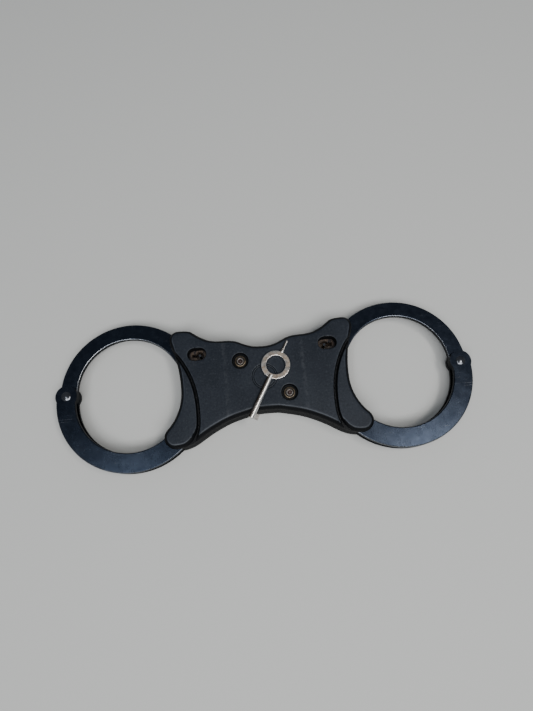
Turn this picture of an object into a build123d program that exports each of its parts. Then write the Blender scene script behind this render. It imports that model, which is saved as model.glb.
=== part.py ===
from build123d import *
import os
from math import atan2, cos, degrees, hypot, radians, sin, sqrt

# Rigid handcuffs: two ratchet cuffs held by one bar grip, with their key.
# Millimetres. The origin is the middle of the grip's back face, +X runs
# along the cuffs to the right cuff, +Y to the bows and +Z out of the front.
# The right side is drawn, and the left side is its mirror image.

# ---- driving dimensions ------------------------------------------------------
GRIP_T = 20.0             # thickness of the grip, back face to front face
MID_Z = GRIP_T / 2        # middle plane of the bows, plates and core
BOW_T = 3.2               # thickness of a bow
BOW_PLAY = 0.15           # gap between a bow and each cheek plate
PLATE_T = 2.5             # thickness of a cheek plate
PIVOT_X = 113.0           # pivot rivet from the middle of the grip
FIT = 0.05                # radial clearance of a running pin

BOW_OUT_C = (76.7, -0.5)  # centre and radius of the bow's outer edge
BOW_OUT_R = 40.6
BOW_IN_C = (77.6, 1.2)    # centre and radius of the bow's inner edge
BOW_IN_R = 30.0
BOW_EYE_R = 5.9
BOW_LEAVE = 146.0         # where the inner edge leaves its circle, degrees
CHEEK_OUT_C = (76.7, -4.0)
CHEEK_OUT_R = 42.0
CHEEK_IN_C = (77.0, -3.9)
CHEEK_IN_R = 31.0
CHEEK_EYE_R = 6.1
EDGE_R = 0.6              # rounding of the steel edges

TOOTH_R = 73.0            # ratchet tooth tips, about the pivot
TOOTH_DEPTH = 1.3
TOOTH_PITCH = 2.0         # degrees about the pivot
TOOTH_FIRST = -6.0        # first and last tooth tip, degrees
TOOTH_LAST = 18.0
TOOTH_UNDERCUT = 0.13     # degrees that a locking face leans in
TOOTH_LAND = 0.24         # degrees of flat on a tooth tip
TIP_IN_R = 67.3           # inner edge of the bow's toothed end
SWING_R = TOOTH_R + 0.4   # all that the bow sweeps through stays inside this

RIVET_R = 1.9             # pivot rivet shank
RIVET_HEAD_R = 2.7
RIVET_HEAD_T = 0.8

PAWL_PIN_AT = (76.4, -17.0)   # radius and degrees about the pivot
PAWL_PIN_R = 1.2
PAWL_EYE_R = 2.4
PAWL_IN_R = TOOTH_R + 0.35
PAWL_BACK_R = 77.4        # thick part, which the double lock stops
PAWL_THIN_R = 75.2        # thin part, beside the lock bar at rest
PAWL_STEP = -1.3          # where thick becomes thin, degrees
PAWL_TEETH = (-4.0, -2.0, 0.0)
LOCK_T = 3.1              # thickness of the pieces between the plates
MESH_GAP = 0.08           # gap between pawl teeth and bow teeth

KEY_POST = (36.0, 16.7)
KEY_POST_R = 0.75
KEYHOLE_R = 2.35
KEYHOLE_SLOT = (40.6, 2.2)    # outer end and width of the keyhole's slot
RECESS_AT = (37.2, 16.3)
RECESS = (10.5, 7.0)      # oval recess in the grip over the keyhole

BAR_X = (30.4, 31.9)      # stem of the double-lock bar
BAR_Y = (-1.0, 21.7)
BAR_BUMP = (35.1, 1.5)    # its stop behind the pawl reaches this x, up to this y
BAR_ARM = (38.2, 20.5)    # its release arm reaches this x, down to this y
LOCK_HOLE_R = 0.85        # hole in the grip's edge for the key's pin

CORE_END = 29.0           # half length of the core plate
CASE_END = 21.5           # where the cheek plates end in the grip
SPACER_AT = (40.5, 25.2)
SPACER_R = 2.3
CASE_RIVET_R = 1.5
CASE_RIVETS = ((25.2, 15.6), (25.2, -15.0), SPACER_AT)

SCREW_AT = (-13.0, 10.2)  # the other screw is half a turn away
SCREW_R = 1.5
SCREW_HEAD = (3.2, 2.0)   # radius and height
SCREW_HOLE = (4.5, 2.9)   # radius and depth of the counterbore
NUT_FLATS = 5.5
NUT_T = 2.4
NUT_DEPTH = 0.8           # nut below the back face

GRIP_EDGE_R = 2.4         # rounding of the grip's outer edges
GROOVE = (1.7, 2.6)       # width and depth of the groove beside each horn
POCKET_GAP = 0.12         # between the steel and the grip's pockets
EMBLEM_RINGS = (7.3, 6.3)     # blank moulded rings, radius
EMBLEM_LINE = (0.35, 0.2)     # their width and depth

KEY_TILT = 30.0           # the key leans to the right by this, degrees
KEY_AT = (6.7, 5.4)       # middle of the key's ring
KEY_RING = (8.15, 5.4, 2.2)   # outer and inner radius, thickness
KEY_TUBE_R = 1.55
KEY_BORE = (0.85, 9.0)    # bore that takes the post, radius and depth
KEY_LENGTH = 32.5         # ring middle to tip
KEY_BIT = (2.3, 3.2, 1.1)     # reach past the tube, length, thickness
KEY_PIN = (0.6, 15.6)     # radius, and reach from the ring's middle
KEY_BOSS = (1.15, 1.8)    # radius and length of the boss at its root
KEY_GAP = 0.03            # key above the grip

PLATE_IN_Z = BOW_T / 2 + BOW_PLAY     # plate's inner face from the middle plane
PLATE_OUT_Z = PLATE_IN_Z + PLATE_T
CORE_T = 2 * PLATE_IN_Z
PIVOT = (PIVOT_X, 0.0)


# ---- helpers -----------------------------------------------------------------
def polar(radius, angle):
    """A point about the right pivot; the angle goes up from the line to the grip."""
    return (PIVOT_X - radius * cos(radians(angle)), radius * sin(radians(angle)))


def on_circle(centre, radius, angle):
    return (centre[0] + radius * cos(radians(angle)), centre[1] + radius * sin(radians(angle)))


def pivot_arc(radius, start, end):
    """An arc about the right pivot."""
    return ThreePointArc(polar(radius, start), polar(radius, (start + end) / 2), polar(radius, end))


def circle_arc(centre, radius, start, end):
    middle = on_circle(centre, radius, (start + end) / 2)
    return ThreePointArc(on_circle(centre, radius, start), middle, on_circle(centre, radius, end))


def meet_angle(centre, radius):
    """Degrees on a circle where it crosses the tooth-tip circle, above the grip."""
    apart = hypot(PIVOT_X - centre[0], centre[1])
    bearing = degrees(atan2(-centre[1], PIVOT_X - centre[0]))
    turn = (TOOTH_R**2 - radius**2 - apart**2) / (2 * radius * apart)
    return 180 - degrees(atan2(sqrt(1 - turn**2), turn)) + bearing


def slab(face, low, high):
    """A flat face as a plate between two heights."""
    return extrude(Pos(0, 0, low) * face, high - low, dir=(0, 0, 1))


def centred(face, thickness):
    return slab(face, MID_Z - thickness / 2, MID_Z + thickness / 2)


def shaft(at, radius, low, high):
    return slab(Pos(*at) * Circle(radius), low, high)


def box_face(x_range, y_range):
    middle = (sum(x_range) / 2, sum(y_range) / 2)
    return Pos(*middle) * Rectangle(x_range[1] - x_range[0], y_range[1] - y_range[0])


def mirrored(shape):
    return mirror(shape, about=Plane.YZ)


# ---- bow: the single strand, with its ratchet teeth -----------------------------
def ratchet_notch(angle):
    """One notch: a locking face that leans in, and a ramp to the next tip."""
    root_r = TOOTH_R - TOOTH_DEPTH
    over_r = TOOTH_R + 1.0
    ramp_end = angle + TOOTH_PITCH - TOOTH_LAND
    return make_face(Polyline(
        polar(over_r, angle),
        polar(TOOTH_R, angle),
        polar(root_r, angle - TOOTH_UNDERCUT),
        polar(TOOTH_R, ramp_end),
        polar(over_r, ramp_end),
        close=True,
    ))


def bow_face():
    top = meet_angle(BOW_OUT_C, BOW_OUT_R)
    outer = circle_arc(BOW_OUT_C, BOW_OUT_R, 5, top)
    tip_top = 7.0
    tip_low = TOOTH_FIRST - 0.6
    top_point = outer @ 1
    top_angle = degrees(atan2(top_point.Y, PIVOT_X - top_point.X))
    toothed = pivot_arc(TOOTH_R, top_angle, tip_low)
    nose = ThreePointArc(polar(TOOTH_R, tip_low), polar(70.2, tip_low - 1.9), polar(TIP_IN_R, tip_low + 0.4))
    throat = pivot_arc(TIP_IN_R, tip_low + 0.4, tip_top)
    inner = circle_arc(BOW_IN_C, BOW_IN_R, BOW_LEAVE, 0)
    leave = Line(throat @ 1, inner @ 0)
    close = Line(inner @ 1, outer @ 0)
    strand = make_face([outer, toothed, nose, throat, leave, inner, close])
    return strand + Pos(*PIVOT) * Circle(BOW_EYE_R)


def bow():
    solid = centred(bow_face(), BOW_T)
    rims = [e for e in solid.edges() if e.length > 60]
    solid = fillet(rims, EDGE_R)
    count = round((TOOTH_LAST - TOOTH_FIRST) / TOOTH_PITCH)
    for k in range(count):
        solid -= centred(ratchet_notch(TOOTH_FIRST + k * TOOTH_PITCH), BOW_T + 2)
    return solid - shaft(PIVOT, RIVET_R + FIT, 0, GRIP_T)


# ---- cheek plates: the double strand and the sides of the lock case --------------
def strand_face():
    """The lower arc, from the pivot to the grip."""
    outer = circle_arc(CHEEK_OUT_C, CHEEK_OUT_R, 7, -134)
    inner = circle_arc(CHEEK_IN_C, CHEEK_IN_R, -134, 6)
    strand = make_face([outer, Line(outer @ 1, inner @ 0), inner, Line(inner @ 1, outer @ 0)])
    return strand + Pos(*PIVOT) * Circle(CHEEK_EYE_R)


def case_face():
    """The part of a cheek plate that lies inside the grip."""
    wrist = circle_arc(CHEEK_IN_C, CHEEK_IN_R, 180, 226)
    low_end = on_circle(CHEEK_OUT_C, CHEEK_OUT_R, -134)
    rim = Polyline(
        wrist @ 1, low_end, (43.5, -30.6), (38.5, -27.4), (32.0, -24.0), (25.0, -20.2),
        (CASE_END, -19.0), (CASE_END, 19.6), (30.5, 21.9), (35.5, 24.2), (40.0, 27.9), (46.2, 28.4),
        (49.4, 26.0), (48.6, 20.6), (46.9, 14.0), (46.4, 6.0), wrist @ 0,
    )
    return make_face([wrist, *rim.edges()])


def plate_face():
    return strand_face() + case_face()


def plate_holes():
    holes = Pos(*PIVOT) * Circle(RIVET_R)
    holes += Pos(*polar(*PAWL_PIN_AT)) * Circle(PAWL_PIN_R)
    for at in CASE_RIVETS:
        holes += Pos(*at) * Circle(CASE_RIVET_R)
    return holes


def keyhole_face():
    slot_end, width = KEYHOLE_SLOT
    middle = (KEY_POST[0] + slot_end) / 2
    slot = Pos(middle, KEY_POST[1]) * Rectangle(slot_end - KEY_POST[0], width)
    return slot + Pos(*KEY_POST) * Circle(KEYHOLE_R)


def rounded_plate(face, low, high, rim_z):
    """A plate with its long outer rims rounded on the face at rim_z."""
    plate = slab(face, low, high)
    rims = [e for e in plate.edges() if e.length > 30 and abs(e.center().Z - rim_z) < 0.01]
    return fillet(rims, EDGE_R)


def cheek_plate_upper():
    top = MID_Z + PLATE_OUT_Z
    plate = rounded_plate(plate_face(), MID_Z + PLATE_IN_Z, top, top)
    return plate - slab(plate_holes() + keyhole_face(), 0, GRIP_T)


def cheek_plate_lower():
    bottom = MID_Z - PLATE_OUT_Z
    plate = rounded_plate(plate_face(), bottom, MID_Z - PLATE_IN_Z, bottom)
    return plate - slab(plate_holes() + Pos(*KEY_POST) * Circle(KEY_POST_R), 0, GRIP_T)


def pivot_rivet():
    """A shank with a domed and dished head outside each plate."""
    reach = PLATE_OUT_Z
    shank = shaft(PIVOT, RIVET_R, MID_Z - reach, MID_Z + reach)
    head = shaft(PIVOT, RIVET_HEAD_R, MID_Z + reach, MID_Z + reach + RIVET_HEAD_T)
    head = fillet(head.faces().sort_by(Axis.Z)[-1].edges(), RIVET_HEAD_T * 0.7)
    dish_r = 2.4
    head -= Pos(*PIVOT, MID_Z + reach + RIVET_HEAD_T + dish_r * 0.82) * Sphere(dish_r)
    return shank + head + mirror(head, about=Plane.XY.offset(MID_Z))


# ---- lock case -----------------------------------------------------------------
def case_rivets():
    low, high = MID_Z - PLATE_OUT_Z, MID_Z + PLATE_OUT_Z
    return Compound(children=[shaft(at, CASE_RIVET_R, low, high) for at in CASE_RIVETS])


def shoulder_spacer():
    tube = Pos(*SPACER_AT) * (Circle(SPACER_R) - Circle(CASE_RIVET_R))
    return centred(tube, CORE_T)


def pawl_face():
    pin = polar(*PAWL_PIN_AT)
    low = PAWL_PIN_AT[1]
    front = pivot_arc(PAWL_IN_R, low, 8.8)
    thin = pivot_arc(PAWL_THIN_R, 6.5, PAWL_STEP + 0.5)
    back = pivot_arc(PAWL_BACK_R, PAWL_STEP, low)
    nose = Polyline(front @ 1, (37.4, 14.0), polar(76.6, 8.4), thin @ 0)
    step = Line(thin @ 1, back @ 0)
    body = make_face([front, *nose.edges(), thin, step, back, Line(back @ 1, front @ 0)])
    for angle in PAWL_TEETH:
        body += offset(ratchet_notch(angle), -MESH_GAP)
    body += Pos(*pin) * Circle(PAWL_EYE_R)
    return body - Pos(*pin) * Circle(PAWL_PIN_R + FIT)


def pawl():
    return centred(pawl_face(), LOCK_T)


def pawl_pin():
    return shaft(polar(*PAWL_PIN_AT), PAWL_PIN_R, MID_Z - PLATE_OUT_Z, MID_Z + PLATE_OUT_Z)


def pawl_spring():
    """A leaf held in a slot of the core plate, pressing on the pawl's back."""
    run = Line((26.2, -12.5), (29.6, -12.5))
    bend = JernArc(run @ 1, run % 1, 9.0, 38)
    tip = JernArc(bend @ 1, bend % 1, 2.5, 30)
    return centred(trace([run, bend, tip], 0.35), 2.4)


def double_lock_bar():
    bar = box_face(BAR_X, BAR_Y)
    bar += box_face((BAR_X[0], BAR_BUMP[0]), (BAR_Y[0], BAR_BUMP[1]))
    bar += box_face((BAR_X[0], BAR_ARM[0]), (BAR_ARM[1], BAR_Y[1]))
    return centred(bar, LOCK_T)


def detent_spring():
    """A bowed leaf between the core plate's end and the lock bar's stem."""
    bulge = BAR_X[0] - 0.06 - 0.15
    leaf = ThreePointArc((CORE_END + 0.2, 4.5), (bulge, 9.5), (CORE_END + 0.2, 14.5))
    return centred(trace(leaf, 0.3), 2.4)


def key_post():
    return shaft(KEY_POST, KEY_POST_R, MID_Z - PLATE_OUT_Z, MID_Z + PLATE_OUT_Z + 0.3)


# ---- grip ------------------------------------------------------------------------
def both_sides(face):
    return face + mirror(face, about=Plane.YZ)


def core_face():
    rim = Polyline(
        (0, 14.0), (8, 15.0), (15, 18.4), (CORE_END, 19.8), (CORE_END, -20.2),
        (24.5, -19.2), (12.0, -15.8), (0, -14.4), close=True,
    )
    return both_sides(make_face(rim))


def screw_points():
    return (SCREW_AT, (-SCREW_AT[0], -SCREW_AT[1]))


def core_plate():
    face = core_face()
    for at in screw_points():
        face -= Pos(*at) * Circle(SCREW_R + 0.2)
    for at in CASE_RIVETS[:2]:
        face -= both_sides(Pos(*at) * Circle(CASE_RIVET_R))
    slot = box_face((26.0, CORE_END + 1), (-12.5 - 0.2, -12.5 + 0.2))
    return centred(face - both_sides(slot), CORE_T)


def grip_outline():
    """The right half of the grip's outline, from the top middle round to the bottom."""
    top = Spline(
        (0, 18.2), (8, 19.5), (15.5, 22.7), (23.7, 23.4), (31.5, 24.9), (38.6, 29.3), (47.5, 31.4),
        tangents=((1, 0), (1, 0)),
    )
    shoulder = circle_arc((47.5, 26.2), 5.2, 90, 0)
    side = Spline(
        shoulder @ 1, (51.5, 21.0), (49.3, 13.8), (47.9, 5.5), (47.4, -3.9),
        tangents=((0, -1), (0, -1)),
    )
    turn = 224.9
    lobe_r = 6.2
    wrist_r = 29.6
    wrist = circle_arc(CHEEK_IN_C, wrist_r, 180, turn)
    lobe_at = on_circle(CHEEK_IN_C, wrist_r + lobe_r, turn)
    lobe = circle_arc(lobe_at, lobe_r, turn - 180, -90)
    bottom = Spline(
        lobe @ 1, (43.4, -33.8), (35.0, -29.0), (26.4, -24.5), (17.6, -21.2), (8.8, -19.1), (0, -18.4),
        tangents=((-1, 0), (-1, 0)),
    )
    return [top, shoulder, side, wrist, lobe, bottom]


def grip_face():
    right = [edge for curve in grip_outline() for edge in curve.edges()]
    left = [edge.mirror(Plane.YZ) for edge in right]
    return make_face([*right, *left])


def groove_face():
    line = Spline(
        (52.4, 20.4), (48.0, 15.4), (43.7, 8.0), (40.6, 0.0), (38.9, -8.0), (38.3, -17.0), (38.9, -25.5),
        (42.6, -36.0),
    )
    return trace(line, GROOVE[0])


def pocket():
    """Room in the grip for the plates, the core plate and the bows' swing."""
    plates = offset(plate_face(), POCKET_GAP, kind=Kind.INTERSECTION)
    room = centred(both_sides(plates), 2 * PLATE_OUT_Z + 2 * POCKET_GAP)
    room += centred(both_sides(Pos(*PIVOT) * Circle(SWING_R)), CORE_T)
    room += centred(offset(core_face(), POCKET_GAP, kind=Kind.INTERSECTION), CORE_T)
    bar_x = sum(BAR_X) / 2
    hole = Pos(bar_x, 23.0, MID_Z) * Rot(90, 0, 0) * Cylinder(LOCK_HOLE_R, 12)
    return room + hole + mirrored(hole)


def grip_half(low, outer_z):
    """One half of the grip, solid, with its outer rim rounded."""
    half = slab(grip_face(), low, low + MID_Z)
    rim = [e for e in half.edges() if abs(e.center().Z - outer_z) < 0.01]
    return fillet(rim, GRIP_EDGE_R)


def grip_shell_front():
    shell = grip_half(MID_Z, GRIP_T)
    shell -= slab(both_sides(groove_face()), GRIP_T - GROOVE[1], GRIP_T + 1)
    recess = Pos(*RECESS_AT) * SlotOverall(*RECESS)
    cuts = slab(both_sides(recess), MID_Z + PLATE_OUT_Z - 1, GRIP_T + 1)
    width, depth = EMBLEM_LINE
    for radius in EMBLEM_RINGS:
        cuts += slab(Circle(radius) - Circle(radius - width), GRIP_T - depth, GRIP_T + 1)
    for at in screw_points():
        cuts += shaft(at, SCREW_R, 0, GRIP_T)
        cuts += shaft(at, SCREW_HOLE[0], GRIP_T - SCREW_HOLE[1], GRIP_T + 1)
    return shell - cuts - pocket()


def grip_shell_back():
    shell = grip_half(0, 0)
    shell -= slab(both_sides(groove_face()), -1, GROOVE[1])
    nut_top = NUT_DEPTH + NUT_T
    hexagon = RegularPolygon(NUT_FLATS / 2, 6, major_radius=False)
    cuts = Part()
    for at in screw_points():
        cuts += shaft(at, SCREW_R, 0, GRIP_T)
        cuts += slab(Pos(*at) * hexagon, -1, nut_top)
    return shell - cuts - pocket()


def grip_screws():
    """Tamper-proof screws: a round head with a ring groove and a middle pin."""
    head_r, head_t = SCREW_HEAD
    seat = GRIP_T - SCREW_HOLE[1]
    screws = []
    for at in screw_points():
        screw = shaft(at, SCREW_R, NUT_DEPTH, seat)
        head = shaft(at, head_r, seat, seat + head_t)
        head = fillet(head.faces().sort_by(Axis.Z)[-1].edges(), 0.5)
        socket = Pos(*at) * (RegularPolygon(1.7, 6) - Circle(0.6))
        screws.append(screw + head - slab(socket, seat + 0.7, seat + head_t + 1))
    return Compound(children=screws)


def grip_nuts():
    hexagon = RegularPolygon(NUT_FLATS / 2, 6, major_radius=False) - Circle(SCREW_R)
    return Compound(children=[
        slab(Pos(*at) * hexagon, NUT_DEPTH, NUT_DEPTH + NUT_T) for at in screw_points()
    ])


# ---- key, drawn along +Y with its ring at the origin --------------------------------
def key_tube():
    tip = Pos(0, -KEY_LENGTH, 0)
    start = 6.3
    length = KEY_LENGTH - start
    tube = Pos(0, -start - length / 2, 0) * Rot(90, 0, 0) * Cylinder(KEY_TUBE_R, length)
    reach, along, thick = KEY_BIT
    tube += tip * Pos(KEY_TUBE_R + reach / 2 - 0.3, along / 2, 0) * Box(reach + 0.6, along, thick)
    bore_r, depth = KEY_BORE
    return tube - tip * Pos(0, depth / 2, 0) * Rot(90, 0, 0) * Cylinder(bore_r, depth)


def key_pin_shape():
    radius, reach = KEY_PIN
    boss_r, boss_t = KEY_BOSS
    start = KEY_RING[0] - 1.2
    pin = Pos(0, (start + reach) / 2, 0) * Rot(90, 0, 0) * Cylinder(radius, reach - start)
    pin = fillet(pin.faces().sort_by(Axis.Y)[-1].edges(), 0.3)
    boss = Pos(0, KEY_RING[0] + boss_t / 2 - 0.4, 0) * Rot(90, 0, 0) * Cylinder(boss_r, boss_t)
    return pin + fillet(boss.edges().filter_by(GeomType.CIRCLE), 0.4)


def key_ring_shape():
    outer, inner, thick = KEY_RING
    ring = Cylinder(outer, thick) - Cylinder(inner, thick)
    ring = fillet(ring.edges().filter_by(GeomType.CIRCLE), 0.35)
    return ring - key_tube() - key_pin_shape()


def laid(shape):
    """A piece of the key where it lies on the grip."""
    height = GRIP_T + KEY_TUBE_R + KEY_GAP
    return Pos(*KEY_AT, height) * Rot(0, 0, -KEY_TILT) * shape


# ---- write every sub-part -------------------------------------------------------------
SIDED = {
    "bow": bow,
    "cheek_plate_upper": cheek_plate_upper,
    "cheek_plate_lower": cheek_plate_lower,
    "pivot_rivet": pivot_rivet,
    "case_rivets": case_rivets,
    "shoulder_spacer": shoulder_spacer,
    "pawl": pawl,
    "pawl_pin": pawl_pin,
    "pawl_spring": pawl_spring,
    "double_lock_bar": double_lock_bar,
    "detent_spring": detent_spring,
    "key_post": key_post,
}
SINGLE = {
    "grip_shell_front": grip_shell_front,
    "grip_shell_back": grip_shell_back,
    "core_plate": core_plate,
    "grip_screws": grip_screws,
    "grip_nuts": grip_nuts,
    "key_ring": lambda: laid(key_ring_shape()),
    "key_tube": lambda: laid(key_tube()),
    "key_pin": lambda: laid(key_pin_shape()),
}


def main():
    os.makedirs("parts", exist_ok=True)
    for name, make in SIDED.items():
        right = make()
        export_step(right, f"parts/{name}_right.step")
        export_step(mirrored(right), f"parts/{name}_left.step")
    for name, make in SINGLE.items():
        export_step(make(), f"parts/{name}.step")


main()
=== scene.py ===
"""Rigid handcuffs on a bar grip, with their key, on a pale studio floor.

Metres, in the frame of the CAD model: X along the cuffs, Y towards the bows,
Z out of the front of the grip. Sizes in the tables are millimetres, times MM.
"""
import math

import bmesh
import bpy
import numpy as np
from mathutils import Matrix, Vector
from mathutils.geometry import delaunay_2d_cdt


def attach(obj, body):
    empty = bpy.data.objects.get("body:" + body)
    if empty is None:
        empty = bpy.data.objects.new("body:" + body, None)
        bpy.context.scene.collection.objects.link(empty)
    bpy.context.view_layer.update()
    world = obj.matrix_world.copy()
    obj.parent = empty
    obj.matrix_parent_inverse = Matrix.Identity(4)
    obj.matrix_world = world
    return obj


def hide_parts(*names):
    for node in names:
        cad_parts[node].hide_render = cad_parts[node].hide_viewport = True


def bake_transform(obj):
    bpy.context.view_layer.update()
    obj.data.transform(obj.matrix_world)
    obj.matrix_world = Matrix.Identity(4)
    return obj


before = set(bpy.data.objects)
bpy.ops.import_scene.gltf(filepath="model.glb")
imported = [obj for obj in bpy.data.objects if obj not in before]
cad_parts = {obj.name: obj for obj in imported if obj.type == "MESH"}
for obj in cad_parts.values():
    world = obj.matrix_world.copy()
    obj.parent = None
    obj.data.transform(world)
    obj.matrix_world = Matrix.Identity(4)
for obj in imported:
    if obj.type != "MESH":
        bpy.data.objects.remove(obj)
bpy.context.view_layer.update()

MM = 0.001
SIDES = {"right": 1, "left": -1}
PIVOT_X = 113.0
KEY_POST = (36.0, 16.7)
# the key tube's flank facing this way gets a brown painted shade
KEY_LEFT = (-0.866, 0.5)          # across the key, to its left
MID_Z = 10.0                      # where the two shells of the grip meet
WELD = 1e-7                       # metres within which cut points are one
MOULDED_SHARP, METAL_SHARP = 35, 40     # edges bent more than this stay sharp, degrees


# ---- camera, light and floor ---------------------------------------------------
CAMERA_AT = (-3.5, -64.1, 304.1)
CAMERA_TURN = (15.0, 0.29, -5.29)
LENS_MM = 26.33
AREA_LIGHTS = (           # name, place and aim in metres, size, watts, colour
    ("key_light", (0.43, -0.11, 1.15), (0.06, 0, 0), (0.30, 0.18), 4.6, (1.0, 0.98, 0.95)),
    ("front_light", (0.05, -0.50, 1.05), (0, 0, 0), (1.1, 0.34), 13, (0.97, 0.98, 1.0)),
    ("side_light", (-0.34, -0.10, 1.10), (-0.06, 0, 0), (0.26, 0.18), 1.4, (0.90, 0.95, 1.0)),
)
SKY_COLOUR, SKY_STRENGTH = (0.84, 0.90, 1.0, 1), 0.26
FLOOR_HALF = 4.0          # metres
FLOOR_COLOUR = (0.46, 0.46, 0.44, 1)


def make_camera():
    data = bpy.data.cameras.new("camera")
    data.lens = LENS_MM
    data.sensor_width = 36
    data.clip_start = 0.01
    camera = bpy.data.objects.new("camera", data)
    camera.location = [c * MM for c in CAMERA_AT]
    camera.rotation_euler = [math.radians(a) for a in CAMERA_TURN]
    bpy.context.scene.collection.objects.link(camera)
    bpy.context.scene.camera = camera


def area_light(name, at, aim, size, power, colour):
    data = bpy.data.lights.new(name, "AREA")
    data.shape = "RECTANGLE"
    data.size, data.size_y = size
    data.energy = power
    data.color = colour
    light = bpy.data.objects.new(name, data)
    light.location = at
    direction = Vector(aim) - Vector(at)
    light.rotation_euler = direction.to_track_quat("-Z", "Y").to_euler()
    bpy.context.scene.collection.objects.link(light)


def make_light():
    world = bpy.data.worlds.new("studio")
    world.use_nodes = True
    background = world.node_tree.nodes["Background"]
    background.inputs["Color"].default_value = SKY_COLOUR
    background.inputs["Strength"].default_value = SKY_STRENGTH
    bpy.context.scene.world = world
    for light in AREA_LIGHTS:
        area_light(*light)


def make_floor():
    mesh = bpy.data.meshes.new("floor")
    half = FLOOR_HALF
    corners = [(-half, -half, 0), (half, -half, 0), (half, half, 0), (-half, half, 0)]
    mesh.from_pydata(corners, [], [(0, 1, 2, 3)])
    floor = bpy.data.objects.new("floor", mesh)
    bpy.context.scene.collection.objects.link(floor)
    shade = Shade("floor_paint")
    shade.set("Base Color", FLOOR_COLOUR)
    shade.set("Roughness", 0.85)
    shade.bump(shade.noise(900, 3), 0.0002, 0.25)
    mesh.materials.append(shade.material)


# ---- grip shells -----------------------------------------------------------------
RIM_R = 2.5               # rounding of the outer rim, in plan
RIM_DROP = 2.6            # height of that rounding, and depth of the grooves
GROOVE_HALF = 0.45        # half width of a groove's floor
GROOVE_R = 0.80           # rounding beside a groove, in plan
HOLE_R = 0.45             # rounding round recesses and screw holes
GROOVE_LINE = (
    (52.4, 20.4), (48.0, 15.4), (43.7, 8.0), (40.6, 0.0), (38.9, -8.0), (38.3, -17.0), (38.9, -25.5),
    (42.6, -36.0),
)
GROOVE_STEPS = 14         # points on each stretch of a groove's line
EMBLEM_R = (7.12, 6.12)   # middles of the two plain moulded rings
EMBLEM_HALF = 0.26
EMBLEM_DROP = 0.17
RIDGE_X = 22.0            # faint upright ridges on the front
RIDGE_RISE = 0.1
SEAM = 0.3                # bevel where the two shells meet
CELL = 0.8                # spacing of the points between the rims
RIM_STEPS = 9
RIM_POWER = 1.8           # squareness of the rims' rounding
BLEND = 0.8               # how softly rim and groove run together
HORN_BLEND = 4.4          # and how much more softly at the foot of a horn
HORN_FROM, HORN_TO = -8.0, -20.0
CUT_CLEAR = 0.1           # the walls are cut this far below the lowest point of the face
LINE_CLEAR = 0.03         # no loose point lies nearer to a cut line
SAME_SPOT = 0.04          # points nearer than this are one
HAIR = 0.001              # too little to see
EMBLEM_POINTS = 96
EMBLEM_SHARES = (-1, -0.66, -0.33, 0, 0.33, 0.66, 1)
RIDGE_HALF = 1.1
RIDGE_FADE = 2.5          # the ridges fade out this far from the rims


def smooth_line(points, steps):
    """Catmull-Rom line through the points."""
    ends = [2 * points[0] - points[1], *points, 2 * points[-1] - points[-2]]
    line = []
    for a, b, c, d in zip(ends, ends[1:], ends[2:], ends[3:]):
        for k in range(steps):
            t = k / steps
            line.append(0.5 * (2 * b + (c - a) * t + (2 * a - 5 * b + 4 * c - d) * t**2
                               + (3 * b - a - 3 * c + d) * t**3))
    return np.array([*line, points[-1]])


def distance(points, line, closed):
    """Distance of each point from a polyline."""
    ends = np.roll(line, -1, axis=0) if closed else line[1:]
    starts = line if closed else line[:-1]
    runs = ends - starts
    best = np.full(len(points), np.inf)
    for part in range(0, len(points), 2000):
        away = points[part:part + 2000, None] - starts[None]
        along = np.clip((away * runs).sum(2) / (runs * runs).sum(1), 0, 1)
        best[part:part + 2000] = np.linalg.norm(away - along[..., None] * runs, axis=2).min(1)
    return best


def inside(points, loop):
    """Which points a closed polyline goes round."""
    x, y = points[:, 0, None], points[:, 1, None]
    x0, y0 = loop[:, 0], loop[:, 1]
    x1, y1 = np.roll(x0, -1), np.roll(y0, -1)
    crosses = (y0 > y) != (y1 > y)
    span = np.where(y1 == y0, 1.0, y1 - y0)
    return (crosses & (x < x0 + (y - y0) / span * (x1 - x0))).sum(1) % 2 == 1


def roll_off(share, power=2.0):
    """How much of a rim's drop is left: 1 at its foot (share 0), 0 where the flat begins."""
    left = 1 - np.clip(share, 0, 1)
    return 1 - (1 - left**power)**(1 / power)


def grip_drop(points, outline, holes, groove, front):
    """How far a grip's face lies below its highest plane, in millimetres."""
    to_rim = distance(points, outline, True)
    folded = np.stack([np.abs(points[:, 0]), points[:, 1]], 1)
    to_groove = distance(folded, groove, False) - GROOVE_HALF
    on_horn = folded[:, 0] > np.interp(points[:, 1], groove[::-1, 1], groove[::-1, 0])
    low_down = np.clip((HORN_FROM - points[:, 1]) / (HORN_FROM - HORN_TO), 0, 1)
    blend = np.where(on_horn, BLEND + HORN_BLEND * low_down, BLEND)
    rim_share = np.clip(0.5 + 0.5 * (to_groove - to_rim) / blend, 0, 1)
    nearest = to_groove * (1 - rim_share) + to_rim * rim_share
    nearest = nearest - blend * rim_share * (1 - rim_share)
    width = GROOVE_R * (1 - rim_share) + RIM_R * rim_share
    drop = RIM_DROP * roll_off(nearest / width, RIM_POWER)
    for hole in holes:
        drop = np.maximum(drop, HOLE_R * roll_off(distance(points, hole, True) / HOLE_R))
    if front:
        radius = np.hypot(points[:, 0], points[:, 1])
        for ring in EMBLEM_R:
            share = np.clip(np.abs(radius - ring) / EMBLEM_HALF, 0, 1)
            drop = drop + EMBLEM_DROP * (1 - share**2)**2
        fade = np.clip((nearest - RIM_R) / RIDGE_FADE, 0, 1)
        drop = drop - RIDGE_RISE * fade * np.exp(-((folded[:, 0] - RIDGE_X) / RIDGE_HALF)**2)
    return drop


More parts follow.
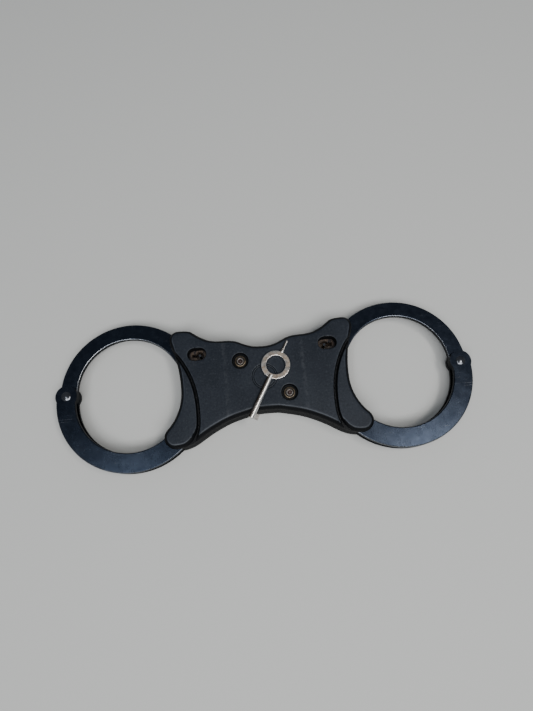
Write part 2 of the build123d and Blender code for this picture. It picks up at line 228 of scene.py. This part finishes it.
def offset_points(line, amount, closed):
    """A polyline's points moved to its left."""
    if closed:
        run = np.roll(line, -1, axis=0) - np.roll(line, 1, axis=0)
    else:
        run = np.gradient(line, axis=0)
    run /= np.linalg.norm(run, axis=1)[:, None]
    return line + amount * np.stack([-run[:, 1], run[:, 0]], 1)


def face_points(outline, holes, groove):
    """Points all over a grip's face, close together where it curves."""
    shares = 1 - np.cos(np.linspace(0, math.pi / 2, RIM_STEPS + 1))
    turn = 1 if signed_area(outline) > 0 else -1
    sets = [offset_points(outline, turn * RIM_R * s, True) for s in shares[1:]]
    for line in (groove, groove * (-1, 1)):
        sets.append(line)
        for s in shares:
            for side in (1, -1):
                away = GROOVE_HALF + GROOVE_R * s + HAIR
                sets.append(offset_points(line, side * away, False))
    for hole in holes:
        turn = -1 if signed_area(hole) > 0 else 1
        sets += [offset_points(hole, turn * HOLE_R * s, True) for s in shares[2::2]]
    around = np.linspace(0, 2 * math.pi, EMBLEM_POINTS + 1)[:-1]
    for ring in EMBLEM_R:
        for share in EMBLEM_SHARES:
            circle = np.stack([np.cos(around), np.sin(around)], 1)
            sets.append((ring + share * EMBLEM_HALF) * circle)
    low, high = outline.min(0), outline.max(0)
    row = CELL * 0.87         # rows of a grid of triangles
    grid = np.mgrid[low[0]:high[0]:CELL, low[1]:high[1]:row].reshape(2, -1).T
    grid[:, 0] += CELL / 2 * (np.round((grid[:, 1] - low[1]) / row) % 2)
    sets.append(grid)
    kept, taken = [], set()
    for points in sets:
        points = points[inside(points, outline)]
        points = points[distance(points, outline, True) > LINE_CLEAR]
        for hole in holes:
            points = points[~inside(points, hole)]
            points = points[distance(points, hole, True) > LINE_CLEAR]
        for x, y in points:
            cell = (round(x / SAME_SPOT), round(y / SAME_SPOT))
            if cell not in taken:
                taken.add(cell)
                kept.append((x, y))
    return np.array(kept)


def signed_area(loop):
    ahead = np.roll(loop, -1, axis=0)
    return (loop[:, 0] * ahead[:, 1] - ahead[:, 0] * loop[:, 1]).sum() / 2


def edge_loops(edges):
    """Chains the cut edges into closed loops of vertices."""
    beside = {}
    for edge in edges:
        for vertex in edge.verts:
            beside.setdefault(vertex, []).append(edge.other_vert(vertex))
    loops, seen = [], set()
    for start in beside:
        if start in seen:
            continue
        loop = [start]
        seen.add(start)
        while True:
            ahead = [v for v in beside[loop[-1]] if v not in seen]
            if not ahead:
                break
            loop.append(ahead[0])
            seen.add(ahead[0])
        loops.append(loop)
    return loops


def grip_shell(name, outer_z, direction):
    """A grip shell: the CAD walls and pockets, under a face with rolled rims and grooves.

    The face is outer_z high and looks up (direction 1) or down (-1).
    """
    bm = bmesh.new()
    bm.from_mesh(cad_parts[name].data)
    bmesh.ops.remove_doubles(bm, verts=bm.verts, dist=WELD)
    everything = bm.verts[:] + bm.edges[:] + bm.faces[:]
    cut_z = (outer_z - direction * (RIM_DROP + CUT_CLEAR)) * MM
    cut = bmesh.ops.bisect_plane(bm, geom=everything, dist=WELD, plane_co=(0, 0, cut_z),
                                 plane_no=(0, 0, direction), clear_outer=True)["geom_cut"]
    loops = edge_loops([item for item in cut if isinstance(item, bmesh.types.BMEdge)])
    loops.sort(key=len, reverse=True)
    flat = [np.array([(v.co.x / MM, v.co.y / MM) for v in loop]) for loop in loops]
    outline, holes = flat[0], flat[1:]
    groove = smooth_line(np.array(GROOVE_LINE), GROOVE_STEPS)
    points = np.concatenate([*flat, face_points(outline, holes, groove)])
    rims = []
    start = 0
    for loop in flat:
        count = len(loop)
        rims += [(start + k, start + (k + 1) % count) for k in range(count)]
        start += count
    plan = delaunay_2d_cdt([Vector(p) for p in points.tolist()], rims, [], 0, 1e-6)
    spots = np.array([(v.x, v.y) for v in plan[0]])
    corners = np.array([face for face in plan[2] if len(face) == 3])
    middles = spots[corners].mean(1)
    wanted = inside(middles, outline)
    for hole in holes:
        wanted &= ~inside(middles, hole)
    drops = grip_drop(spots, outline, holes, groove, direction == 1)
    heights = (outer_z - direction * drops).tolist()
    made = [bm.verts.new((x * MM, y * MM, z * MM)) for (x, y), z in zip(spots.tolist(), heights)]
    for face in corners[wanted]:
        bm.faces.new([made[k] for k in face])
    at_source = {}
    for index, sources in enumerate(plan[3]):
        for source in sources:
            at_source[source] = made[index]
    start = 0
    for loop in loops:
        count = len(loop)
        for k in range(count):
            ahead = (k + 1) % count
            bm.faces.new((loop[k], loop[ahead], at_source[start + ahead], at_source[start + k]))
        start += count
    bevel_seam(bm, outline, direction)
    bmesh.ops.delete(bm, geom=[v for v in bm.verts if not v.link_faces], context="VERTS")
    bmesh.ops.recalc_face_normals(bm, faces=bm.faces)
    shell = mesh_object(name + "_moulded", bm, MOULDED_SHARP)
    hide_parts(name)
    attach(shell, "frame")
    return shell


SCREW_SPOTS = ((-13.0, 10.2), (13.0, -10.2))
SCREW_PROFILE = (         # radius and height of a screw, from its foot to the top of its pin
    (0.0, 0.8), (1.35, 0.8), (1.5, 0.95), (1.5, 17.1), (3.1, 17.1), (3.2, 17.2), (3.2, 18.5),
    (3.12, 18.74), (2.9, 18.88), (2.6, 18.92), (2.42, 18.80), (2.3, 18.62), (2.05, 18.58),
    (1.92, 18.70), (1.86, 18.92), (1.72, 19.04), (1.50, 19.06), (1.36, 18.98), (1.30, 18.80),
    (1.28, 17.9), (1.2, 17.82), (0.66, 17.82), (0.6, 17.9), (0.6, 18.70), (0.52, 18.82),
    (0.35, 18.88), (0.0, 18.9),
)
ROUND = 64                # corners on a turned piece


def turned(bm, at, profile):
    """Adds a lathe-turned solid. The profile starts and ends on the axis."""
    rings = []
    for radius, height in profile:
        if radius == 0:
            rings.append([bm.verts.new((at[0] * MM, at[1] * MM, height * MM))])
            continue
        ring = []
        for k in range(ROUND):
            angle = 2 * math.pi * k / ROUND
            x, y = at[0] + radius * math.cos(angle), at[1] + radius * math.sin(angle)
            ring.append(bm.verts.new((x * MM, y * MM, height * MM)))
        rings.append(ring)
    for below, above in zip(rings, rings[1:]):
        for k in range(ROUND):
            ahead = (k + 1) % ROUND
            if len(below) == 1:
                bm.faces.new((below[0], above[ahead], above[k]))
            elif len(above) == 1:
                bm.faces.new((below[k], below[ahead], above[0]))
            else:
                bm.faces.new((below[k], below[ahead], above[ahead], above[k]))


RIVET_HEAD = (2.7, 0.15, 0.65)    # radius, height of its rim, and rise of its dome
RIVET_SHANK = 1.85
DOME_STEPS = 10
PLATES_Z = (5.75, 14.25)          # outer faces of the cheek plates


def pivot_rivet(side):
    """A rivet with a low dome at each end."""
    radius, rim, rise = RIVET_HEAD
    shares = [k / DOME_STEPS for k in range(DOME_STEPS)]
    dome = [(radius * share, rim + rise * (1 - share**2)) for share in shares]
    dome += [(radius, rim * 0.7), (radius, 0.0), (RIVET_SHANK, 0.0)]
    bottom, top = PLATES_Z
    profile = [(r, bottom - up) for r, up in dome] + [(r, top + up) for r, up in reversed(dome)]
    bm = bmesh.new()
    turned(bm, (SIDES[side] * PIVOT_X, 0), profile)
    bmesh.ops.recalc_face_normals(bm, faces=bm.faces)
    rivet = mesh_object(f"pivot_rivet_{side}_domed", bm, METAL_SHARP)
    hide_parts(f"pivot_rivet_{side}")
    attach(rivet, "frame")
    return rivet


def grip_screws():
    bm = bmesh.new()
    for at in SCREW_SPOTS:
        turned(bm, at, SCREW_PROFILE)
    bmesh.ops.recalc_face_normals(bm, faces=bm.faces)
    screws = mesh_object("grip_screws_turned", bm, METAL_SHARP)
    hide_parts("grip_screws")
    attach(screws, "frame")
    return screws


SPRING_ROOT = 26.2
SPRING_CELL, SPRING_CUTS = 0.45, 23


def pawl_spring(side):
    """The CAD's leaf, which runs from the core plate to the pawl, cut finer along its length."""
    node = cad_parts[f"pawl_spring_{side}"]
    bm = bmesh.new()
    bm.from_mesh(node.data)
    bmesh.ops.remove_doubles(bm, verts=bm.verts, dist=WELD)
    sign = SIDES[side]
    for step in range(SPRING_CUTS):
        x = sign * (SPRING_ROOT + SPRING_CELL * (step + 1)) * MM
        everything = bm.verts[:] + bm.edges[:] + bm.faces[:]
        bmesh.ops.bisect_plane(
            bm, geom=everything, dist=WELD, plane_co=(x, 0, 0), plane_no=(1, 0, 0))
    leaf = mesh_object(f"pawl_spring_{side}_leaf", bm, METAL_SHARP)
    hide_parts(node.name)
    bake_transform(leaf)
    return leaf


def bevel_seam(bm, outline, direction):
    """Draws in the rim where this shell meets the other, so that the joint shows."""
    everything = bm.verts[:] + bm.edges[:] + bm.faces[:]
    cut_z = (MID_Z + direction * SEAM) * MM
    bmesh.ops.bisect_plane(
        bm, geom=everything, dist=WELD, plane_co=(0, 0, cut_z), plane_no=(0, 0, 1))
    low = [v for v in bm.verts if abs(v.co.z / MM - MID_Z) < HAIR]
    plan = np.array([(v.co.x / MM, v.co.y / MM) for v in low])
    near = distance(plan, outline, True) < LINE_CLEAR
    turn = 1 if signed_area(outline) > 0 else -1
    inner = offset_points(outline, turn * SEAM, True)
    for vertex, spot, wanted in zip(low, plan, near):
        if wanted:
            closest = np.linalg.norm(outline - spot, axis=1).argmin()
            shift = inner[closest] - outline[closest]
            vertex.co.x += shift[0] * MM
            vertex.co.y += shift[1] * MM


def mesh_object(name, bm, sharp):
    """An object from a bmesh, smooth except at edges sharper than so many degrees."""
    for face in bm.faces:
        face.smooth = True
    for edge in bm.edges:
        edge.smooth = edge.calc_face_angle(0) < math.radians(sharp)
    mesh = bpy.data.meshes.new(name)
    bm.to_mesh(mesh)
    bm.free()
    made = bpy.data.objects.new(name, mesh)
    bpy.context.scene.collection.objects.link(made)
    return made


# ---- materials -------------------------------------------------------------------
class Shade:
    """A material with one Principled shader, and short names for the nodes that feed it."""

    def __init__(self, name):
        self.material = bpy.data.materials.new(name)
        self.material.use_nodes = True
        self.tree = self.material.node_tree
        self.shader = self.tree.nodes["Principled BSDF"]
        coordinates = self.node("ShaderNodeTexCoord")
        self.position = coordinates.outputs["Object"]
        self.normal = coordinates.outputs["Normal"]
        self.last_bump = None

    def node(self, kind, **values):
        node = self.tree.nodes.new(kind)
        for key, value in values.items():
            setattr(node, key, value)
        return node

    def feed(self, socket, value):
        if isinstance(value, bpy.types.NodeSocket):
            self.tree.links.new(value, socket)
        else:
            socket.default_value = value

    def set(self, name, value):
        self.feed(self.shader.inputs[name], value)

    def math(self, operation, first, second=0.0):
        node = self.node("ShaderNodeMath", operation=operation)
        self.feed(node.inputs[0], first)
        self.feed(node.inputs[1], second)
        return node.outputs[0]

    def times(self, first, second):
        return self.math("MULTIPLY", first, second)

    def plus(self, first, second):
        return self.math("ADD", first, second)

    def less(self, first, second):
        return self.math("SUBTRACT", first, second)

    def most(self, first, second):
        return self.math("MAXIMUM", first, second)

    def size(self, value):
        return self.math("ABSOLUTE", value)

    def ramp(self, value, low, high, out_low=0.0, out_high=1.0):
        """Smooth step of a value from low..high to out_low..out_high."""
        node = self.node("ShaderNodeMapRange", interpolation_type="SMOOTHSTEP")
        for socket, number in zip(node.inputs, (value, low, high, out_low, out_high)):
            self.feed(socket, number)
        return node.outputs[0]

    def stretched(self, scale, turn=0.0):
        """The position scaled along each axis, for scratches and brush marks."""
        node = self.node("ShaderNodeMapping")
        self.feed(node.inputs["Vector"], self.position)
        node.inputs["Scale"].default_value = scale
        node.inputs["Rotation"].default_value = (0, 0, math.radians(turn))
        return node.outputs[0]

    def noise(self, scale, detail=2.0, rough=0.5, vector=None):
        node = self.node("ShaderNodeTexNoise")
        self.feed(node.inputs["Vector"], vector or self.position)
        node.inputs["Scale"].default_value = scale
        node.inputs["Detail"].default_value = detail
        node.inputs["Roughness"].default_value = rough
        return node.outputs["Fac"]

    def mix(self, share, first, second):
        node = self.node("ShaderNodeMix", data_type="RGBA")
        self.feed(node.inputs["Factor"], share)
        self.feed(node.inputs["A"], first)
        self.feed(node.inputs["B"], second)
        return node.outputs["Result"]

    def axis(self, name, source=None):
        node = self.node("ShaderNodeSeparateXYZ")
        self.feed(node.inputs[0], source or self.position)
        return node.outputs[name]

    def from_centre(self, centre):
        """Distance in plan from a point, in millimetres. Mirror images share it."""
        x = self.size(self.axis("X"))
        x = self.less(x, centre[0] * MM)
        y = self.less(self.axis("Y"), centre[1] * MM)
        squares = self.plus(self.times(x, x), self.times(y, y))
        return self.math("DIVIDE", self.math("SQRT", squares), MM)

    def rounded_edge(self):
        """1 on the rounded edges between flat faces and upright walls."""
        up = self.size(self.axis("Z", self.normal))
        return self.times(self.ramp(up, 0.12, 0.4), self.ramp(up, 0.995, 0.9))

    def bump(self, height, distance, strength=1.0):
        node = self.node("ShaderNodeBump")
        node.inputs["Strength"].default_value = strength
        node.inputs["Distance"].default_value = distance
        self.feed(node.inputs["Height"], height)
        if self.last_bump:
            self.feed(node.inputs["Normal"], self.last_bump)
        self.last_bump = node.outputs[0]
        self.set("Normal", self.last_bump)


# rims, centre and radius, given worn bare metal and a painted highlight
BOW_IN = ((77.6, 1.2), 30.0)
CHEEK_OUT = ((76.7, -4.0), 42.0)
CHEEK_LINES = ((105.0, -13.2), (111.0, -14.6))  # faint marks under the pivots: inner end, height
BLUED_DARK = (0.0150, 0.0195, 0.0290)
BLUED_LIGHT = (0.0230, 0.0290, 0.0410)
BLUED_BLOTCH = (0.014, 0.017, 0.025, 1)
# painted shade for upright walls
BLUED_WALL_SHADE = (0.0050, 0.0060, 0.0085, 1)
# bare steel for worn edges and scratches, and a painted highlight along the chosen rim
BARE_STEEL_AND_HIGHLIGHT = (0.42, 0.43, 0.44, 1)
PALE_LINE = (0.16, 0.17, 0.19, 1)
# rust, darkened as painted shade for the keyhole recess
RUST_AND_RECESS_SHADE = (0.066, 0.046, 0.032, 1)


def scratches(shade, turn, density):
    """Long thin marks in one direction."""
    field = shade.noise(1, 2, 0.5, shade.stretched((90, 5200, 90), turn))
    patch = shade.ramp(shade.noise(60, 2), 0.45, 0.62)
    return shade.times(shade.ramp(field, density, density + 0.05), patch)


def rim_wear_and_highlight(shade, circle, tilt):
    """Bare metal in patches along the upper edge of one round rim: wear, and a painted highlight
    there too.
    """
    centre, radius = circle
    near_rim = shade.ramp(shade.size(shade.less(shade.from_centre(centre), radius)), 0.6, 0.25)
    upper_edge = shade.times(shade.ramp(tilt, 0.30, 0.55), shade.ramp(tilt, 0.98, 0.86))
    patchy = shade.ramp(shade.noise(45, 2), 0.25, 0.5, 0.2, 0.75)
    return shade.times(shade.times(near_rim, upper_edge), patchy)


def rust_and_lines(shade, colour):
    """Rust round the key posts, dull as well as brown and darkened as painted shade in the keyhole
    recess, and two pale lines under each pivot.
    """
    spot = shade.ramp(shade.from_centre(KEY_POST), 7.5, 4.5)
    stain = shade.times(spot, shade.ramp(shade.noise(420, 4, 0.7), 0.3, 0.6))
    # rust in the keyhole recess, its colour also darkened as painted shade
    colour = shade.mix(stain, colour, RUST_AND_RECESS_SHADE)
    shade.set("Metallic", shade.less(1.0, stain))
    across = shade.size(shade.axis("X"))
    broken = shade.ramp(shade.noise(190, 2), 0.40, 0.58, 0, 0.5)
    for inner_x, height in CHEEK_LINES:
        away = shade.size(shade.less(shade.axis("Y"), height * MM))
        thin = shade.ramp(away, 0.16 * MM, 0.05 * MM)
        line = shade.times(thin, shade.ramp(across, (inner_x - 1) * MM, inner_x * MM))
        colour = shade.mix(shade.times(line, broken), colour, PALE_LINE)
    return colour


def blued_steel(name, bright_circle, rust=False, lift=1.0):
    """Dark blue-black steel, mottled, with bare metal along a worn rim that also carries a painted
    highlight, and painted shade on its upright walls.
    """
    shade = Shade(name)
    tilt = shade.axis("Z", shade.normal)
    dark, light = [(*(part * lift for part in tone), 1) for tone in (BLUED_DARK, BLUED_LIGHT)]
    colour = shade.mix(shade.ramp(shade.noise(170, 5, 0.65), 0.3, 0.7), dark, light)
    colour = shade.mix(shade.ramp(shade.noise(32, 3), 0.4, 0.8, 0, 0.12), colour, BLUED_BLOTCH)
    rubbed = shade.ramp(shade.noise(60, 3), 0.48, 0.75, 0, 0.16)
    edges = shade.times(shade.rounded_edge(), rubbed)
    marks = shade.most(scratches(shade, 24, 0.70), scratches(shade, -57, 0.72))
    # bare metal: worn edges and scratches, and along the rim also a painted highlight
    bare = shade.most(rim_wear_and_highlight(shade, bright_circle, tilt), edges)
    bare = shade.most(bare, shade.times(marks, 0.35))
    # upright walls are darkened: painted shade
    shaded_wall = shade.ramp(shade.size(tilt), 0.45, 0.15)
    colour = shade.mix(shaded_wall, colour, BLUED_WALL_SHADE)
    colour = shade.mix(bare, colour, BARE_STEEL_AND_HIGHLIGHT)
    shade.set("Metallic", 1.0)
    if rust:
        colour = rust_and_lines(shade, colour)
    shade.set("Base Color", colour)
    rough = shade.ramp(shade.noise(260, 4, 0.65), 0.3, 0.7, 0.22, 0.29)
    rough = shade.less(rough, shade.times(bare, 0.08))
    shade.set("Roughness", shade.plus(rough, shade.times(shaded_wall, 0.35)))
    shade.bump(shade.noise(1100, 3, 0.6), 0.00001, 0.35)
    shade.bump(marks, 0.00001, 0.4)
    return shade.material


# painted shade, near black, for walls, slopes and grooves
PLASTIC_PAINTED_SHADE = (0.0012, 0.0016, 0.0024, 1)
PLASTIC_DARK = (0.0068, 0.0095, 0.0145, 1)
PLASTIC_LIGHT = (0.0138, 0.0175, 0.0238, 1)
PLASTIC_GRAIN = (0.030, 0.034, 0.041, 1)
PLASTIC_SPECK = (0.032, 0.036, 0.042, 1)
PLASTIC_PIT = (0.0045, 0.0060, 0.0090, 1)
# rubbed along the ridges, and lighter there as a painted sheen
PLASTIC_RIDGE_WEAR_AND_SHEEN = (0.034, 0.037, 0.043, 1)
# worn, and a painted highlight, along the creases
PLASTIC_CREASE_WEAR_AND_HIGHLIGHT = (0.038, 0.044, 0.054, 1)
PLASTIC_SCRATCH = (0.06, 0.065, 0.075, 1)
DUST = (0.07, 0.07, 0.068, 1)


def grip_plastic():
    """Moulded plastic: grained flats marked by handling; walls, slopes and grooves painted black as
    shade; a rubbed ridge and the lower creases carry a painted sheen and highlight as well as wear.
    """
    shade = Shade("grip_plastic")
    up = shade.size(shade.axis("Z", shade.normal))
    depth = shade.size(shade.less(shade.axis("Z"), MID_Z * MM))
    # the top band of the face: lower faces, groove floors among them, get painted shade
    on_face = shade.ramp(depth, 9.0 * MM, 9.75 * MM)
    flat = shade.times(shade.ramp(up, 0.84, 0.985), on_face)
    cloud = shade.noise(38, 3)
    grey = shade.mix(shade.ramp(cloud, 0.3, 0.7), PLASTIC_DARK, PLASTIC_LIGHT)
    grain = shade.noise(2300, 3, 0.7)
    grey = shade.mix(shade.ramp(grain, 0.45, 0.75, 0, 0.5), grey, PLASTIC_GRAIN)
    coarse = shade.noise(850, 3, 0.7)
    grey = shade.mix(shade.ramp(coarse, 0.52, 0.72, 0, 0.55), grey, PLASTIC_SPECK)
    grey = shade.mix(shade.ramp(coarse, 0.48, 0.30, 0, 0.7), grey, PLASTIC_PIT)
    # a lighter stripe along each ridge: rubbing, and a painted sheen where the ridge catches the
    # light
    across = shade.less(shade.size(shade.axis("X")), RIDGE_X * MM)
    rubbed = shade.ramp(shade.size(across), 1.6 * MM, 0.3 * MM)
    rubbed = shade.times(rubbed, shade.ramp(shade.noise(330, 3, 0.7), 0.40, 0.65, 0.0, 0.5))
    grey = shade.mix(rubbed, grey, PLASTIC_RIDGE_WEAR_AND_SHEEN)
    # only the flats keep the plastic's own grey; everything else is painted shade
    colour = shade.mix(flat, PLASTIC_PAINTED_SHADE, grey)
    # where the flats turn down: a painted highlight with some wear, strongest on creases that face
    # -Y
    crease = shade.times(shade.ramp(up, 0.90, 0.955), shade.ramp(up, 0.998, 0.975))
    crease = shade.times(crease, on_face)
    worn = shade.times(crease, shade.ramp(shade.noise(60, 3), 0.3, 0.6, 0.25, 0.9))
    worn = shade.times(worn, shade.ramp(shade.axis("Y", shade.normal), 0.12, -0.12, 0.3, 1.0))
    colour = shade.mix(worn, colour, PLASTIC_CREASE_WEAR_AND_HIGHLIGHT)
    marks = shade.times(scratches(shade, 66, 0.71), flat)
    colour = shade.mix(shade.times(marks, 0.35), colour, PLASTIC_SCRATCH)
    dust = shade.times(shade.ramp(shade.noise(1500, 2, 0.7), 0.66, 0.74), flat)
    colour = shade.mix(shade.times(dust, 0.4), colour, DUST)
    shade.set("Base Color", colour)
    shade.set("Specular IOR Level", 0.14)
    rough = shade.ramp(shade.noise(150, 4, 0.7), 0.3, 0.7, 0.42, 0.52)
    rough = shade.plus(rough, shade.ramp(up, 0.8, 0.2, 0, 0.28))
    shade.set("Roughness", shade.less(rough, shade.times(worn, 0.1)))
    shade.bump(grain, 0.00006, 0.6)
    shade.bump(shade.noise(240, 3), 0.0001, 0.25)
    return shade.material


STEEL_RUST = (0.040, 0.028, 0.020, 1)


def plain_steel(name, dark, light, rough, rust=0.0):
    """Bare steel with a fine grain, and a share of brown rust."""
    shade = Shade(name)
    colour = shade.mix(shade.ramp(shade.noise(300, 3), 0.3, 0.7), (*dark, 1), (*light, 1))
    patch = shade.ramp(shade.noise(700, 4, 0.7), 0.62 - rust * 0.35, 0.72 - rust * 0.3)
    stain = shade.times(patch, min(1.0, rust * 1.4))
    colour = shade.mix(stain, colour, STEEL_RUST)
    shade.set("Base Color", colour)
    shade.set("Metallic", shade.ramp(stain, 0.0, 1.0, 1.0, 0.35))
    shade.set("Roughness", shade.ramp(shade.noise(900, 3), 0.3, 0.7, rough, rough + 0.14))
    shade.bump(shade.noise(2600, 3), 0.00002, 0.4)
    return shade.material


SCREW_RADII = ((1.22, 1.30), (1.84, 1.96), (2.50, 2.80))    # socket to ring, gap, edge
# the socket's and the groove's colours are painted shade, the ring's a painted highlight
SCREW_SOCKET_SHADE = ((0.035, 0.021, 0.018, 1), (0.075, 0.047, 0.041, 1))
SCREW_RING_HIGHLIGHT = ((0.185, 0.175, 0.165, 1), (0.100, 0.080, 0.065, 1))
SCREW_GAP_SHADE = (0.020, 0.016, 0.013, 1)
SCREW_EDGE = ((0.030, 0.022, 0.014, 1), (0.120, 0.092, 0.056, 1))


def screw_metal():
    """Browned screw heads: a painted highlight on the raised ring, painted shade in the dark brown
    socket and in the groove round the ring, and a rubbed outer edge.
    """
    shade = Shade("screw_steel")
    x = shade.less(shade.size(shade.axis("X")), SCREW_SPOTS[1][0] * MM)
    y = shade.less(shade.size(shade.axis("Y")), SCREW_SPOTS[0][1] * MM)
    squares = shade.plus(shade.times(x, x), shade.times(y, y))
    radius = shade.math("DIVIDE", shade.math("SQRT", squares), MM)
    patch = shade.noise(620, 4, 0.7)
    edge = shade.mix(shade.ramp(patch, 0.35, 0.6), *SCREW_EDGE)
    ring = shade.mix(shade.ramp(patch, 0.40, 0.62), *SCREW_RING_HIGHLIGHT)
    socket = shade.mix(shade.ramp(patch, 0.4, 0.6), *SCREW_SOCKET_SHADE)
    to_ring, to_gap, to_edge = [shade.ramp(radius, start, end) for start, end in SCREW_RADII]
    # painted shade in the socket and groove, a painted highlight on the raised ring
    colour = shade.mix(to_ring, socket, ring)
    colour = shade.mix(to_gap, colour, SCREW_GAP_SHADE)
    colour = shade.mix(to_edge, colour, edge)
    shade.set("Base Color", colour)
    shade.set("Metallic", 0.6)
    shade.set("Roughness", shade.ramp(patch, 0.3, 0.7, 0.28, 0.46))
    shade.bump(shade.noise(2600, 3), 0.00001, 0.4)
    return shade.material


# bright nickel for the rubbed edges, painted brighter there as a highlight
NICKEL_RUBBED_AND_HIGHLIGHT = (0.80, 0.79, 0.77, 1)
NICKEL_WORN = (0.50, 0.46, 0.41, 1)
# painted shade, brown, for one flank of the key tube
NICKEL_FLANK_SHADE = (0.12, 0.075, 0.042, 1)
NICKEL_GRIME = (0.13, 0.095, 0.06, 1)


def key_metal(name, lean, flat_tint):
    """Nickel plate rubbed bright on its edges, which are also painted bright as a highlight, with
    brass showing on the flats and a brown painted shade on one flank.

    The second argument is the direction, in plan, that the flank with painted shade faces.
    """
    shade = Shade(name)
    tilt = shade.axis("Z", shade.normal)
    patch = shade.noise(260, 4, 0.65)
    flat = shade.ramp(shade.size(tilt), 0.90, 0.98)
    worn = shade.mix(shade.ramp(patch, 0.38, 0.62), NICKEL_WORN, flat_tint)
    # edges and sides: rubbed nickel and a painted highlight; flats: the worn tint
    colour = shade.mix(flat, NICKEL_RUBBED_AND_HIGHLIGHT, worn)
    # the flank facing the given direction is darkened brown: painted shade
    aside = shade.plus(shade.times(shade.axis("X", shade.normal), lean[0]),
                       shade.times(shade.axis("Y", shade.normal), lean[1]))
    flank = shade.times(shade.ramp(aside, 0.12, 0.50), shade.ramp(patch, 0.30, 0.55, 0.7, 1.0))
    colour = shade.mix(flank, colour, NICKEL_FLANK_SHADE)
    grime = shade.ramp(shade.noise(520, 3, 0.6), 0.58, 0.75, 0, 0.5)
    colour = shade.mix(grime, colour, NICKEL_GRIME)
    shade.set("Base Color", colour)
    shade.set("Metallic", 1.0)
    shade.set("Roughness", shade.ramp(shade.noise(500, 3), 0.3, 0.7, 0.24, 0.34))
    shade.bump(shade.noise(900, 2), 0.000004, 0.3)
    return shade.material


def make_materials():
    rivet = plain_steel("rivet_steel", (0.075, 0.078, 0.086), (0.115, 0.12, 0.13), 0.14)
    case = plain_steel("case_steel", (0.12, 0.12, 0.12), (0.20, 0.20, 0.20), 0.38, 0.25)
    cheek = blued_steel("blued_steel_cheeks", CHEEK_OUT, rust=True)
    return {
        "bow": blued_steel("blued_steel_bows", BOW_IN, lift=1.2),
        "cheek_plate_upper": cheek,
        "cheek_plate_lower": cheek,
        "pivot_rivet": rivet,
        "key_post": rivet,
        "pawl_pin": rivet,
        "case_rivets": rivet,
        "pawl_spring": plain_steel("spring_steel", (0.20, 0.23, 0.31), (0.30, 0.33, 0.40), 0.24),
        "grip_screws": screw_metal(),
        "shoulder_spacer": case,
        "grip_shell": grip_plastic(),
        "key_ring": key_metal("key_metal_ring", (0, 0), (0.52, 0.41, 0.31, 1)),
        "key_tube": key_metal("key_metal_tube", KEY_LEFT, (0.48, 0.45, 0.41, 1)),
    }


def paint_nodes(materials):
    """Gives each CAD node its material by the start of its name."""
    same = {
        "detent_spring": "pawl_spring",
        "grip_nuts": "grip_screws",
        "core_plate": "shoulder_spacer",
        "pawl_right": "shoulder_spacer",
        "pawl_left": "shoulder_spacer",
        "double_lock_bar": "shoulder_spacer",
        "key_pin": "key_tube",
    }
    kinds = {**{kind: kind for kind in materials}, **same}
    for name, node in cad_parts.items():
        kind = max((k for k in kinds if name.startswith(k)), key=len)
        node.data.materials.clear()
        node.data.materials.append(materials[kinds[kind]])


make_camera()
make_light()
make_floor()
MATERIALS = make_materials()
paint_nodes(MATERIALS)
for shell in (grip_shell("grip_shell_front", 20.0, 1), grip_shell("grip_shell_back", 0.0, -1)):
    shell.data.materials.append(MATERIALS["grip_shell"])
grip_screws().data.materials.append(MATERIALS["grip_screws"])
for side in SIDES:
    pivot_rivet(side).data.materials.append(MATERIALS["pivot_rivet"])
    pawl_spring(side).data.materials.append(MATERIALS["pawl_spring"])
